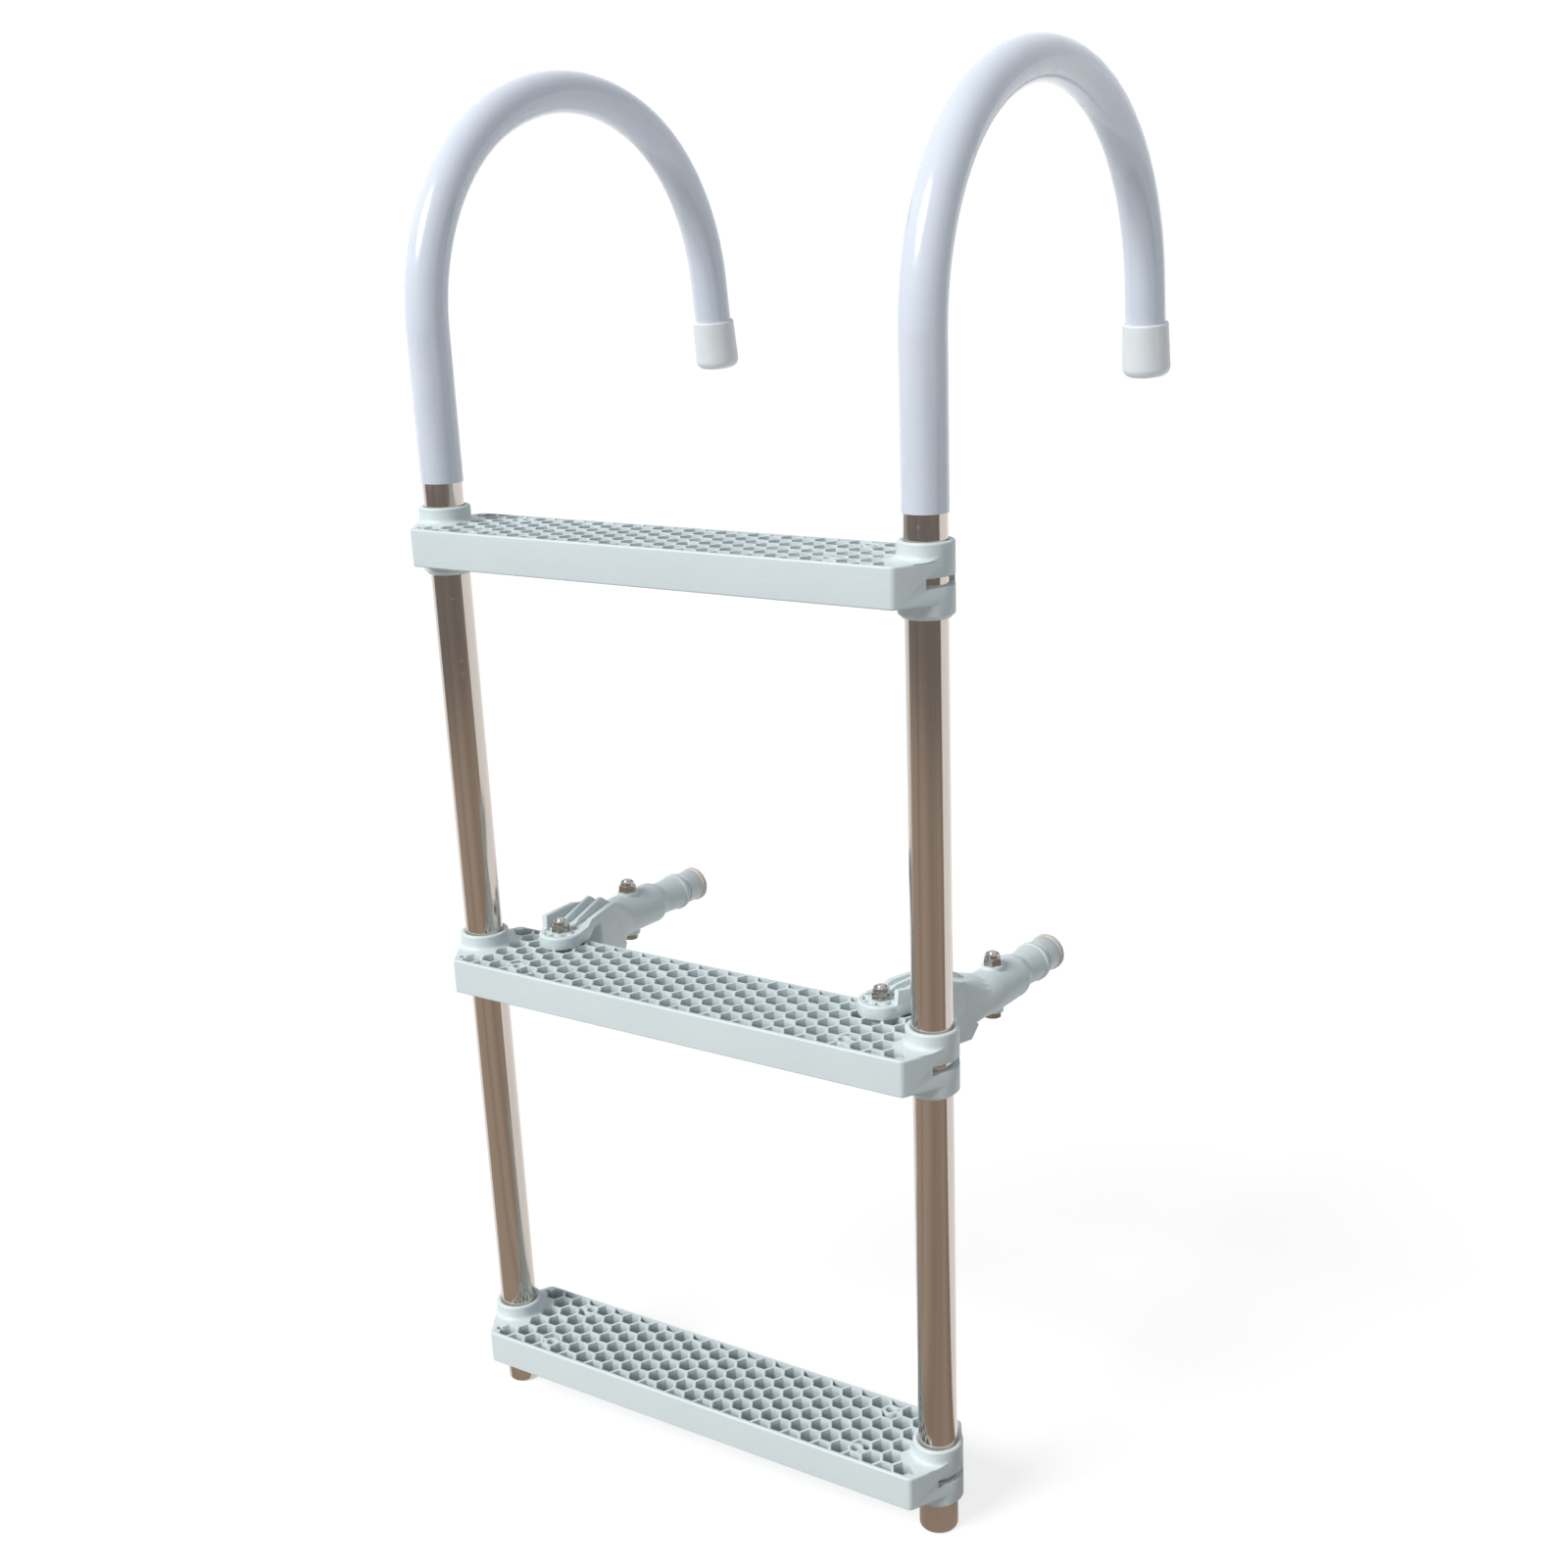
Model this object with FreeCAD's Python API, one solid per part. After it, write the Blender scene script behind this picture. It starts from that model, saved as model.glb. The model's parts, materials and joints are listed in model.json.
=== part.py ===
import FreeCAD, Part
import math
import os

# Hook-on boat ladder with three moulded steps and two swinging stand-off arms.
# X runs along the steps, +Y points from the climber towards the boat, Z is up.
# The origin lies on the gunwale seat: midway between the two hooks, under their crowns.
# All lengths are in millimetres and all angles in degrees.

V = FreeCAD.Vector
UP = V(0, 0, 1)

# Rail tube and its hook
tube_radius = 12.7
tube_wall = 1.6
rail_half_spacing = 176.2
hook_reach = 311.0
hook_corner_radius = 141.0
hook_corner_angle = 65.0
hook_tip_lean = 6.5
hook_leg = 60.0
rail_below_step = 56.0
foot_curl_radius = 4.0

# Sleeve that protects the hook
sleeve_wall = 0.8
sleeve_fit = 0.05
bare_ring_length = 15.0

# Cap on the tip of the hook
tip_wall = 1.9
tip_flare = 0.7
tip_length = 35.0
tip_floor = 4.5
tip_round = 6.0
tip_lip_round = 0.7

# Steps
step_count = 3
first_step_drop = 250.0
step_pitch = 293.0
step_height = 24.0
step_half_depth = 35.6
corner_setback = 1.6
step_corner_round = 4.0
step_edge_round = 1.2

# Collars of a step, round the rails
collar_wall = 3.7
collar_fit = 0.05
collar_rise = 10.0
collar_skirt = 9.3
collar_flare = 8.0
collar_chamfer = 2.4
collar_rim_round = 1.4
collar_bore_chamfer = 1.3
slot_height = 6.0
slot_width = 34.0
slot_reach = 4.0

# Honeycomb of a step
cell_pitch = 13.6
cell_web = 1.9
rim_wall = 2.2
collar_web = 1.8
boss_inset = 48.8
boss_y = 23.4
boss_ring_radius = 5.2
boss_arm_width = 2.6
corner_hole_radius = 2.0
corner_hole_inset_x = 2.3
corner_hole_inset_y = 7.7

# Stand-off arms: a fork on the middle step, a bend and a round socket
left_arm_yaw = 10.8
right_arm_yaw = 21.6
ear_gap = 0.3
ear_radius = 15.0
ear_thickness = 8.6
ear_rim_round = 1.6
pocket_inner = 7.8
pocket_outer = 11.8
pocket_depth = 2.2
pocket_count = 8
pocket_spoke = 2.4
throat_depth = 27.0
throat_nose_radius = 30.0
throat_arch = 4.9
throat_arch_run = 9.0
fork_length = 56.0
fork_foot_length = 62.0
fork_foot_slope = 6.0
fork_corner_round = 3.0
socket_radius = 15.0
bend_angle = 16.8
bend_start = 79.1
bend_radius = 40.0
clamp_from_bend = 5.9
socket_end = 20.0
waist_start = 34.0
waist_radius = 12.0
waist_end = 38.0
ring_distance = 52.9
ring_width = 3.0
ring_radius = 13.5
mouth_radius = 12.9
clamp_boss_radius = 7.4
clamp_boss_height = 1.3
side_rib_width = 3.6
middle_rib_width = 2.4
grip_rib_pitch = 8.8
outboard_rib_rise = 9.0
side_rib_rise = 3.5
middle_rib_rise = 7.0
middle_rib_start = 8.5
inboard_rib_start = 11.0
grip_rib_ramp = 7.0
side_rib_crest = 45.0
middle_rib_crest = 51.0
grip_rib_fall = 12.0
core_wall = 3.6
core_web = 3.0
core_start = 32.0
core_end = 60.0
core_roof = 4.0

# Stepped tube in the socket and pad on its end
sliding_radius = 8.85
sliding_fit = 0.05
sliding_wall = 1.8
sliding_back = 9.0
mouth_bore = 11.2
mouth_start = 42.0
collar_out = 64.0
pad_end = 74.7
pad_lap = 7.0
pad_wall = 1.1
pad_dome = 3.0

# Bolts and nuts
bolt_radius = 3.175
bolt_clearance = 0.07
nut_flats = 11.1
nut_height = 5.2
nut_collar_height = 2.8
nut_collar_radius = 4.8
head_height = 4.2
bolt_past_nut = 1.0

# Overlap of cutting tools past the faces that they cut
overcut = 1.0

# Sizes worked out from the values above
sleeve_inner = tube_radius + sleeve_fit
sleeve_outer = sleeve_inner + sleeve_wall
rail_y = -hook_reach / 2
corner_turn = math.radians(hook_corner_angle)
tip_lean = math.radians(hook_tip_lean)
crown_radius = (hook_reach / 2 - hook_corner_radius * (1 - math.cos(corner_turn))) / math.cos(corner_turn)
crown_rise = hook_corner_radius * math.sin(corner_turn) + crown_radius * (1 - math.sin(corner_turn))
crown_z = sleeve_outer
spring_z = crown_z - crown_rise
leg_top_y = hook_reach / 2 - hook_corner_radius * (1 - math.cos(tip_lean))
leg_top_z = spring_z + hook_corner_radius * math.sin(tip_lean)
leg_end_y = leg_top_y + hook_leg * math.sin(tip_lean)
leg_end_z = leg_top_z - hook_leg * math.cos(tip_lean)
step_tops = [-first_step_drop - i * step_pitch for i in range(step_count)]
rail_end_z = step_tops[-1] - rail_below_step
front_corner_half = rail_half_spacing - corner_setback
collar_bore = tube_radius + collar_fit
collar_outer = collar_bore + collar_wall
sleeve_start_z = step_tops[0] + collar_rise + bare_ring_length
column_pitch = cell_pitch * math.sqrt(3)
cell_radius = (cell_pitch - cell_web) / math.sqrt(3)
end_column = round(2 * rail_half_spacing / column_pitch)
end_row = math.ceil(2 * step_half_depth / cell_pitch)
boss_x = rail_half_spacing - boss_inset
boss_cell_x = round(2 * boss_x / column_pitch) * column_pitch / 2
bolt_bore = bolt_radius + bolt_clearance
arm_axis_z = -step_height / 2
ear_top = ear_gap + ear_thickness
ear_bottom = -step_height - ear_top
clamp_seat = arm_axis_z + socket_radius + clamp_boss_height
clamp_under = arm_axis_z - socket_radius - clamp_boss_height
tube_bore = sliding_radius - sliding_wall


def cylinder(radius, bottom, top, x=0.0, y=0.0):
    """Upright cylinder between two heights."""
    return Part.makeCylinder(radius, top - bottom, V(x, y, bottom), UP)


def box(x0, x1, y0, y1, z0, z1):
    """Box between two corners."""
    return Part.makeBox(x1 - x0, y1 - y0, z1 - z0, V(x0, y0, z0))


def polygon_face(points, z=0.0):
    """Flat face from a list of XY points."""
    corners = [V(x, y, z) for x, y in points]
    return Part.Face(Part.makePolygon(corners + [corners[0]]))


def revolve_profile(wire, axis_point, axis):
    """Solid of revolution of a closed profile."""
    return Part.Face(wire).revolve(axis_point, axis, 360)


def hexagon(flats, z, x=0.0, y=0.0):
    """Face of a regular hexagon with two flats parallel to X."""
    radius = flats / math.sqrt(3)
    angles = [math.radians(60 * i) for i in range(6)]
    return polygon_face([(x + radius * math.cos(a), y + radius * math.sin(a)) for a in angles], z)


def hook_path(x, start_z):
    """Centre line of one rail: up the ladder, over the crown and down the leaning leg of the hook."""
    first = V(x, rail_y, start_z)
    spring = V(x, rail_y, spring_z)
    crown_centre = V(x, 0, crown_z - crown_radius)

    def on_corner(turn, side):
        y = side * (rail_y + hook_corner_radius - math.cos(turn) * hook_corner_radius)
        return V(x, y, spring_z + math.sin(turn) * hook_corner_radius)

    def on_crown(turn, side):
        return crown_centre + V(0, -math.cos(turn) * side, math.sin(turn)) * crown_radius

    middle = (corner_turn + math.pi / 2) / 2
    edges = [
        Part.LineSegment(first, spring),
        Part.Arc(spring, on_corner(corner_turn / 2, 1), on_corner(corner_turn, 1)),
        Part.Arc(on_corner(corner_turn, 1), on_crown(middle, 1), V(x, 0, crown_z)),
        Part.Arc(V(x, 0, crown_z), on_crown(middle, -1), on_corner(corner_turn, -1)),
        Part.Arc(on_corner(corner_turn, -1), on_corner((corner_turn + tip_lean) / 2, -1),
                 on_corner(tip_lean, -1)),
        Part.LineSegment(on_corner(tip_lean, -1), V(x, leg_end_y, leg_end_z)),
    ]
    return Part.Wire([edge.toShape() for edge in edges])


def hook_tube(x, start_z, inner, outer):
    """Tube of a given bore and outside radius along the rail's centre line, up to the hook's end."""
    path = hook_path(x, start_z)
    start = V(x, rail_y, start_z)
    skins = []
    for radius in (outer, inner):
        ring = Part.Wire([Part.Circle(start, UP, radius).toShape()])
        skins.append(path.makePipeShell([ring], True, True))
    return skins[0].cut(skins[1])


def curled_foot(x):
    """Rolled-in lower end of a rail, a wall that turns inwards on a small radius."""
    outer = tube_radius
    inner = tube_radius - tube_wall
    bend = foot_curl_radius + tube_wall
    z = rail_end_z + bend
    centre = V(x + outer - bend, rail_y, z)
    half = math.sqrt(0.5)
    profile = Part.Wire([
        Part.LineSegment(V(x + outer, rail_y, z), V(x + inner, rail_y, z)).toShape(),
        Part.Arc(V(x + inner, rail_y, z), centre + V(foot_curl_radius * half, 0, -foot_curl_radius * half),
                 centre + V(0, 0, -foot_curl_radius)).toShape(),
        Part.LineSegment(centre + V(0, 0, -foot_curl_radius), centre + V(0, 0, -bend)).toShape(),
        Part.Arc(centre + V(0, 0, -bend), centre + V(bend * half, 0, -bend * half),
                 V(x + outer, rail_y, z)).toShape(),
    ])
    return revolve_profile(profile, V(x, rail_y, 0), UP)


def rail(x):
    """One aluminium tube: foot, upright, hook and tip leg in one piece."""
    straight_start = rail_end_z + foot_curl_radius + tube_wall
    body = hook_tube(x, straight_start, tube_radius - tube_wall, tube_radius)
    return body.fuse(curled_foot(x)).removeSplitter()


def hook_sleeve(x):
    """Thin glossy sleeve over the whole hook."""
    return hook_tube(x, sleeve_start_z, sleeve_inner, sleeve_outer)


def hook_tip(x):
    """Soft cap pushed over the end of the hook, flared a little and domed below."""
    bore = sleeve_outer + sleeve_fit
    mouth = bore + tip_wall
    widest = mouth + tip_flare
    bottom = -tip_floor
    top = bottom + tip_length
    dome_drop = tip_round * (1 - math.sqrt(0.5))

    def point(radius, z):
        return V(radius, 0, z)

    edges = [
        Part.LineSegment(point(0, bottom), point(widest - tip_round, bottom)),
        Part.Arc(point(widest - tip_round, bottom), point(widest - dome_drop, bottom + dome_drop),
                 point(widest, bottom + tip_round)),
        Part.LineSegment(point(widest, bottom + tip_round), point(mouth, top - tip_lip_round)),
        Part.LineSegment(point(mouth, top - tip_lip_round), point(mouth - tip_lip_round, top)),
        Part.LineSegment(point(mouth - tip_lip_round, top), point(bore, top)),
        Part.LineSegment(point(bore, top), point(bore, 0)),
        Part.LineSegment(point(bore, 0), point(0, 0)),
        Part.LineSegment(point(0, 0), point(0, bottom)),
    ]
    cap = revolve_profile(Part.Wire([edge.toShape() for edge in edges]), V(0, 0, 0), UP)
    cap.rotate(V(0, 0, 0), V(1, 0, 0), hook_tip_lean)
    return cap.translate(V(x, leg_end_y, leg_end_z))


def collar_tangent():
    """Point where the oblique end face meets the collar, for the front right corner."""
    dx = front_corner_half - rail_half_spacing
    dy = -step_half_depth
    distance = math.hypot(dx, dy)
    towards_corner = math.atan2(dy, dx)
    swing = math.acos(collar_outer / distance)
    angle = towards_corner + swing
    return rail_half_spacing + collar_outer * math.cos(angle), collar_outer * math.sin(angle)


def step_outline():
    """Plan of a step: long front and rear edges and oblique ends that run onto the collars."""
    tx, ty = collar_tangent()
    cx = front_corner_half
    cy = step_half_depth
    return [(-cx, -cy), (cx, -cy), (tx, ty), (tx, -ty), (cx, cy), (-cx, cy), (-tx, -ty), (-tx, ty)]


def cell_centres():
    """Centres of every honeycomb cell that a step has, partly cut ones included."""
    centres = []
    half_flats = (cell_pitch - cell_web) / 2
    for column in range(-end_column, end_column + 1):
        x = column / 2 * column_pitch
        if abs(x) + cell_radius + rim_wall > front_corner_half:
            continue
        for row in range(-end_row, end_row + 1):
            if (column + row) % 2:
                continue
            y = row / 2 * cell_pitch
            inside = abs(y) - half_flats < step_half_depth - rim_wall - cell_web
            clear = math.hypot(rail_half_spacing - abs(x), y) > collar_outer + collar_web
            if inside and clear:
                centres.append((x, y))
    return centres


def honeycomb_face():
    """Flat faces of all cells, trimmed by the rim and by the web round each collar."""
    inner = step_half_depth - rim_wall
    window = polygon_face([(-front_corner_half, -inner), (front_corner_half, -inner),
                           (front_corner_half, inner), (-front_corner_half, inner)])
    for side in (-1, 1):
        ring = Part.Circle(V(side * rail_half_spacing, 0, 0), UP, collar_outer + collar_web)
        window = window.cut(Part.Face(Part.Wire([ring.toShape()])))
    cells = [hexagon(cell_pitch - cell_web, 0, x, y) for x, y in cell_centres()]
    return window.common(Part.Compound(cells))


def collar(side):
    """Solid collar with a rounded rim and chamfered skirt, and its concave foot on the deck."""
    x = side * rail_half_spacing
    bottom = -step_height - collar_skirt
    half = math.sqrt(0.5)
    rim_drop = collar_rim_round * (1 - half)

    def point(radius, z):
        return V(x + radius, 0, z)

    rim_middle = point(collar_outer - rim_drop, collar_rise - rim_drop)
    body = Part.Wire([
        Part.LineSegment(point(0, bottom), point(collar_outer - collar_chamfer, bottom)).toShape(),
        Part.LineSegment(point(collar_outer - collar_chamfer, bottom),
                         point(collar_outer, bottom + collar_chamfer)).toShape(),
        Part.LineSegment(point(collar_outer, bottom + collar_chamfer),
                         point(collar_outer, collar_rise - collar_rim_round)).toShape(),
        Part.Arc(point(collar_outer, collar_rise - collar_rim_round), rim_middle,
                 point(collar_outer - collar_rim_round, collar_rise)).toShape(),
        Part.LineSegment(point(collar_outer - collar_rim_round, collar_rise),
                         point(0, collar_rise)).toShape(),
        Part.LineSegment(point(0, collar_rise), point(0, bottom)).toShape(),
    ])
    flare_edge = collar_outer + collar_flare
    flare_middle = point(flare_edge - collar_flare * half, collar_flare * (1 - half))
    foot = Part.Wire([
        Part.LineSegment(point(0, 0), point(flare_edge, 0)).toShape(),
        Part.Arc(point(flare_edge, 0), flare_middle, point(collar_outer, collar_flare)).toShape(),
        Part.LineSegment(point(collar_outer, collar_flare), point(0, collar_flare)).toShape(),
        Part.LineSegment(point(0, collar_flare), point(0, 0)).toShape(),
    ])
    axis = point(0, 0)
    return revolve_profile(body, axis, UP), revolve_profile(foot, axis, UP)


def boss_posts():
    """Screw bosses, each a ring held across its cell by one web."""
    posts = []
    reach = cell_radius - cell_web / 4
    for side in (-1, 1):
        cell_x = side * boss_cell_x
        for y in (-boss_y, boss_y):
            posts.append(cylinder(boss_ring_radius, -step_height, 0, side * boss_x, y))
            posts.append(box(cell_x - reach, cell_x + reach, y - boss_arm_width / 2,
                             y + boss_arm_width / 2, -step_height, 0))
    return posts


def build_step():
    """One step with its deck at z = 0."""
    outline = polygon_face(step_outline())
    plate = outline.extrude(V(0, 0, -step_height))
    uprights = [edge for edge in plate.Edges if edge.BoundBox.ZLength > step_height / 2
                and abs(edge.BoundBox.YMin) > step_half_depth - 1]
    plate = plate.makeFillet(step_corner_round, uprights)
    long_edges = [edge for edge in plate.Edges if edge.BoundBox.ZLength < 0.01
                  and abs(edge.BoundBox.Center.y) > collar_outer]
    plate = plate.makeFillet(step_edge_round, long_edges)
    above_deck = outline.extrude(V(0, 0, collar_flare))
    for side in (-1, 1):
        ring, foot = collar(side)
        plate = plate.fuse([ring, foot.common(above_deck)])
    plate = plate.cut(honeycomb_face().extrude(V(0, 0, collar_rise + step_height))
                      .translate(V(0, 0, -step_height)))
    plate = plate.fuse(boss_posts())
    holes = []
    middle = -step_height / 2
    skirt = -step_height - collar_skirt
    for side in (-1, 1):
        x = side * rail_half_spacing
        holes.append(cylinder(collar_bore, skirt - overcut, collar_rise + overcut, x))
        holes.append(Part.makeCone(collar_bore, collar_bore + collar_bore_chamfer, collar_bore_chamfer,
                                   V(x, 0, collar_rise - collar_bore_chamfer), UP))
        slot_in = x + side * slot_reach
        slot_out = x + side * (collar_outer + overcut)
        holes.append(box(min(slot_in, slot_out), max(slot_in, slot_out), -slot_width / 2, slot_width / 2,
                         middle - slot_height / 2, middle + slot_height / 2))
        for end in (-1, 1):
            hole_x = side * (front_corner_half - corner_hole_inset_x)
            hole_y = end * (step_half_depth - corner_hole_inset_y)
            holes.append(cylinder(corner_hole_radius, -step_height - overcut, overcut, hole_x, hole_y))
            holes.append(cylinder(bolt_bore, -step_height - overcut, overcut, side * boss_x, end * boss_y))
    return plate.cut(holes).removeSplitter()


def past_bend(shape):
    """Turn a piece of the socket, drawn as if the arm ran straight on, round the arm's bend."""
    turned = shape.copy()
    turned.rotate(V(-bend_radius, bend_start, 0), UP, bend_angle)
    return turned


def along_arm(profile):
    """Solid of revolution about the arm's axis, from (distance, radius) points or arcs."""
    edges = []
    for piece in profile:
        points = [V(radius, distance, arm_axis_z) for distance, radius in piece]
        edges.append(Part.Arc(*points).toShape() if len(piece) == 3 else Part.LineSegment(*points).toShape())
    return revolve_profile(Part.Wire(edges), V(0, 0, arm_axis_z), V(0, 1, 0))


def lathe(points):
    """Closed chain of straight pieces from (distance, radius) points."""
    return along_arm([(points[i], points[(i + 1) % len(points)]) for i in range(len(points))])


def side_plate(points, half_width):
    """Profile in the arm's side view, given as (distance, height), with a thickness across the arm."""
    corners = [V(-half_width, distance, height) for distance, height in points]
    return Part.Face(Part.makePolygon(corners + [corners[0]])).extrude(V(2 * half_width, 0, 0))


def ear_disc(side):
    """Round ear above (side 1) or below (side -1) the step, with a rounded outer edge."""
    inner = ear_gap if side > 0 else -step_height - ear_gap
    outer = ear_top if side > 0 else ear_bottom
    half = math.sqrt(0.5)
    drop = ear_rim_round * (1 - half)
    profile = Part.Wire([
        Part.LineSegment(V(0, 0, inner), V(ear_radius, 0, inner)).toShape(),
        Part.LineSegment(V(ear_radius, 0, inner), V(ear_radius, 0, outer - side * ear_rim_round)).toShape(),
        Part.Arc(V(ear_radius, 0, outer - side * ear_rim_round),
                 V(ear_radius - drop, 0, outer - side * drop),
                 V(ear_radius - ear_rim_round, 0, outer)).toShape(),
        Part.LineSegment(V(ear_radius - ear_rim_round, 0, outer), V(0, 0, outer)).toShape(),
        Part.LineSegment(V(0, 0, outer), V(0, 0, inner)).toShape(),
    ])
    return revolve_profile(profile, V(0, 0, 0), UP)


def rounded_section(distance):
    """Upright rounded rectangle of the fork, as four corner arcs and four straight sides."""
    r = fork_corner_round
    low = arm_axis_z - socket_radius
    middle_z = (low + ear_top) / 2
    half = (ear_top - low) / 2
    edges = []
    corner_points = []
    for i in range(4):
        start = i * math.pi / 2
        sx = 1 if i in (0, 3) else -1
        sz = 1 if i in (0, 1) else -1
        x = sx * (ear_radius - r)
        z = middle_z + sz * (half - r)
        turn = [start, start + math.pi / 4, start + math.pi / 2]
        corner_points.append([V(x + r * math.cos(a), distance, z + r * math.sin(a)) for a in turn])
    for i, (first, middle, last) in enumerate(corner_points):
        following = corner_points[(i + 1) % 4][0]
        edges.append(Part.Arc(first, middle, last).toShape())
        edges.append(Part.LineSegment(last, following).toShape())
    return Part.Wire(edges)


def round_section(distance):
    """Circle of the socket in eight arcs that answer the corners and sides of the rounded section."""
    corner_share = math.radians(15)
    edges = []
    for i in range(4):
        diagonal = math.pi / 4 + i * math.pi / 2
        stops = [diagonal - corner_share, diagonal + corner_share, diagonal + math.pi / 2 - corner_share]
        for start, end in zip(stops, stops[1:]):
            turn = [start, (start + end) / 2, end]
            points = [V(math.cos(a), 0, math.sin(a)) * socket_radius for a in turn]
            edges.append(Part.Arc(*[V(0, distance, arm_axis_z) + point for point in points]).toShape())
    return Part.Wire(edges)


def fork_body():
    """Part of the arm that grips the step: ears, straight cheeks and the run into the round socket."""
    cheeks = side_plate([(0, ear_bottom), (fork_foot_length, ear_bottom),
                         (fork_foot_length + fork_foot_slope, arm_axis_z - socket_radius + fork_corner_round),
                         (fork_length, arm_axis_z), (fork_length, ear_top), (0, ear_top)], ear_radius)
    solid = ear_disc(1).fuse([ear_disc(-1), cheeks])
    taper = Part.makeLoft([rounded_section(fork_length), round_section(bend_start)], True, True)
    solid = solid.fuse(taper)
    inner = ear_gap
    arch_top = ear_gap + throat_arch
    edge = step_half_depth - boss_y
    deep = throat_depth + throat_nose_radius
    throat_line = [(-2 * ear_radius, inner), (edge, inner), (edge + throat_arch_run, arch_top),
                   (deep, arch_top)]
    mirrored = [(y, -step_height - z) for y, z in reversed(throat_line)]
    throat = side_plate(throat_line + mirrored, 2 * ear_radius)
    nose = cylinder(throat_nose_radius, ear_bottom, ear_top, 0, deep)
    return solid.cut(throat.cut(nose))


def socket_body():
    """Round part of the arm behind its bend, drawn straight: clamp part, waist and flared mouth."""
    clamp = bend_start + clamp_from_bend
    fat_end = clamp + socket_end
    waist = clamp + waist_start
    flare = clamp + waist_end
    ring = clamp + ring_distance
    shoulder_round = (waist - fat_end) / 2
    shoulder = (fat_end + shoulder_round, (socket_radius + waist_radius) / 2)
    quarter = shoulder_round * 0.75
    drop = (socket_radius - waist_radius) / 8
    return along_arm([
        ((bend_start, 0), (bend_start, socket_radius)),
        ((bend_start, socket_radius), (fat_end, socket_radius)),
        ((fat_end, socket_radius), (fat_end + quarter, socket_radius - drop * 1.6), shoulder),
        (shoulder, (waist - quarter, waist_radius + drop * 1.6), (waist, waist_radius)),
        ((waist, waist_radius), (flare, waist_radius)),
        ((flare, waist_radius), (ring - ring_width, mouth_radius)),
        ((ring - ring_width, mouth_radius), (ring - ring_width, ring_radius)),
        ((ring - ring_width, ring_radius), (ring, ring_radius)),
        ((ring, ring_radius), (ring, 0)),
        ((ring, 0), (bend_start, 0)),
    ])


def grip_rib(place, width, start, ramp, front_rise, back_rise, crest):
    """One rib on top of the fork, with its front end at start and its highest run up to crest."""
    root = ear_top - overcut
    rib = side_plate([(start, root), (start, ear_top), (start + ramp, ear_top + front_rise),
                      (crest, ear_top + back_rise), (crest + grip_rib_fall, root),
                      (crest + grip_rib_fall, arm_axis_z), (crest, root)], width / 2)
    return rib.translate(V(place, 0, 0))


def grip_ribs():
    """Four ribs: a tall one flush with the outboard side, two in the middle and a low one inboard."""
    side_place = ear_radius - side_rib_width / 2
    middle_place = grip_rib_pitch / 2
    upright = overcut
    ribs = [grip_rib(side_place, side_rib_width, upright, upright, outboard_rib_rise,
                     side_rib_rise, side_rib_crest),
            grip_rib(-side_place, side_rib_width, inboard_rib_start, grip_rib_ramp,
                     side_rib_rise, side_rib_rise, middle_rib_crest)]
    for place in (middle_place, -middle_place):
        ribs.append(grip_rib(place, middle_rib_width, middle_rib_start, grip_rib_ramp, side_rib_rise,
                             middle_rib_rise, middle_rib_crest))
    return ribs


def ear_pockets():
    """Ring of shallow pockets round the nut seat, parted by spokes."""
    floor = ear_top - pocket_depth
    ring = cylinder(pocket_outer, floor, ear_top + overcut)
    ring = ring.cut(cylinder(pocket_inner, floor, ear_top + overcut))
    spokes = []
    for i in range(pocket_count):
        spoke = box(0, ear_radius, -pocket_spoke / 2, pocket_spoke / 2,
                    floor - overcut, ear_top + 2 * overcut)
        spoke.rotate(V(0, 0, 0), UP, 360 / pocket_count * (i + 0.5))
        spokes.append(spoke)
    return ring.cut(spokes)


def arm_moulding():
    """Moulded arm in its own place: pivot on the Z axis, fork along +Y, deck of the step at z = 0."""
    clamp = bend_start + clamp_from_bend
    centre = V(0, bend_start, arm_axis_z)
    section = Part.Face(Part.Wire([Part.Circle(centre, V(0, 1, 0), socket_radius).toShape()]))
    elbow = section.revolve(V(-bend_radius, bend_start, 0), UP, bend_angle)
    boss = cylinder(clamp_boss_radius, clamp_under, clamp_seat, 0, clamp)
    solid = fork_body().fuse([elbow, past_bend(socket_body()), past_bend(boss)])
    solid = solid.fuse(grip_ribs())
    clamp_bore = cylinder(bolt_bore, clamp_under - overcut, clamp_seat + overcut, 0, clamp)
    floor = clamp - sliding_back - overcut
    shoulder = clamp + mouth_start
    mouth = clamp + ring_distance + overcut
    narrow_bore = sliding_radius + sliding_fit
    tube_bores = lathe([(floor, 0), (floor, narrow_bore), (shoulder, narrow_bore),
                        (shoulder, mouth_bore), (mouth, mouth_bore), (mouth, 0)])
    cores = []
    for side in (-1, 1):
        near = side * core_web / 2
        far = side * (ear_radius - core_wall)
        cores.append(box(min(near, far), max(near, far), core_start, core_end,
                         ear_bottom - overcut, ear_top - core_roof))
    pivot_bore = cylinder(bolt_bore, ear_bottom - overcut, ear_top + overcut)
    solid = solid.cut([past_bend(tube_bores), past_bend(clamp_bore), pivot_bore, ear_pockets()] + cores)
    return solid.removeSplitter()


def stepped_tube():
    """Tube in the socket: narrow through the waist and the clamp bolt, wide in the mouth and beyond."""
    clamp = bend_start + clamp_from_bend
    back = clamp - sliding_back
    step = clamp + mouth_start + sliding_fit
    end = clamp + collar_out
    body = lathe([(back, tube_bore), (back, sliding_radius), (step, sliding_radius),
                  (step, mouth_bore - sliding_fit), (end, mouth_bore - sliding_fit), (end, tube_bore)])
    cross = cylinder(bolt_bore, arm_axis_z - socket_radius, arm_axis_z + socket_radius, 0, clamp)
    return past_bend(body.cut(cross))


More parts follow.
